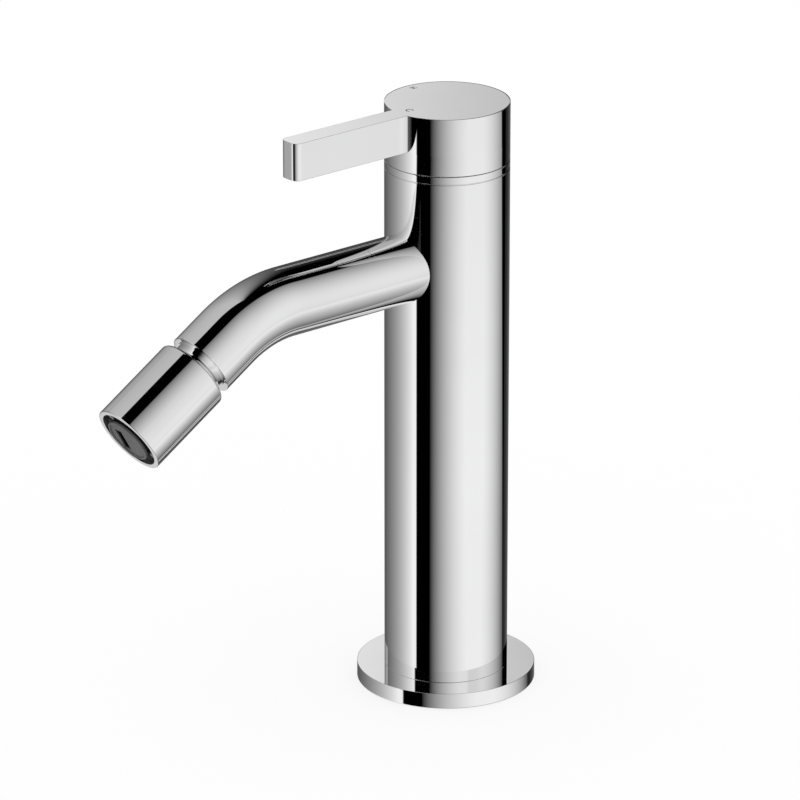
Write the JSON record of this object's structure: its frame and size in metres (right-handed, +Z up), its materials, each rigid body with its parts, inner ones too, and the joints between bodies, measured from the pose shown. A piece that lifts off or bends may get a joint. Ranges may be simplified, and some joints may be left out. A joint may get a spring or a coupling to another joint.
{
  "type": "bidet mixer",
  "caption": "Slim round chrome bidet mixer: column on a base flange, turning cap with a flat lever, bent spout tube and a nozzle that swivels on a ball joint.",
  "frame": {"origin": "centre of the base's underside, on the column's axis", "axes": "+Z up along the column, -Y the way the spout and the lever point, +X to the user's right"},
  "size_m": [0.055, 0.1557, 0.1868],
  "materials": {
    "chrome": "polished chrome plating on brass",
    "brass": "turned brass, not plated",
    "copper": "drawn copper tube",
    "rubber": "black moulded rubber",
    "white_plastic": "moulded off-white plastic",
    "red_plastic": "moulded red plastic",
    "dark_plastic": "dark moulded plastic",
    "grey_plastic": "grey moulded plastic",
    "steel": "stainless steel",
    "ceramic": "lapped white ceramic"
  },
  "bodies": {
    "mixer_body": {"base_flange": "chrome", "base_seal": "rubber", "body_column": "chrome", "inlet_block": "brass", "hot_supply_tube": "copper", "cold_supply_tube": "copper", "supply_tube_seals": "rubber", "valve_block": "brass", "spout_nipple": "brass", "spout_seal": "rubber", "spout_tube": "chrome", "spout_end_bush": "brass", "ball_stud": "chrome", "cartridge_base": "white_plastic", "port_seals": "rubber", "fixed_disc": "ceramic", "cartridge_housing": "white_plastic", "spindle_seal": "rubber", "cartridge_nut": "brass", "trim_ring": "chrome", "glide_ring": "white_plastic"},
    "lever": {"lever_handle": "chrome", "handle_screw": "steel", "screw_cover": "chrome", "spindle": "brass", "limit_ring": "red_plastic", "disc_carrier": "white_plastic", "moving_disc": "ceramic"},
    "slip_ring": {"ball_slip_ring": "white_plastic"},
    "nozzle": {"nozzle_sleeve": "chrome", "ball_seal": "rubber", "aerator_housing": "dark_plastic", "aerator_washer": "rubber", "strainer_screen": "steel", "aerator_insert": "grey_plastic"}
  },
  "joints": [
    {"name": "lever_turn", "type": "hinge", "parent": "mixer_body", "child": "lever", "pos_m": [0, 0, 0.1689], "axis": [0, 0, -1], "range_deg": [0, 90]},
    {"name": "nozzle_swivel", "type": "hinge", "parent": "mixer_body", "child": "slip_ring", "pos_m": [0, -0.09959, 0.12213], "axis": [0, -0.848, -0.5299], "continuous": true},
    {"name": "nozzle_tilt", "type": "hinge", "parent": "slip_ring", "child": "nozzle", "pos_m": [0, -0.09959, 0.12213], "axis": [1, 0, 0], "range_deg": [-10, 10]}
  ]
}
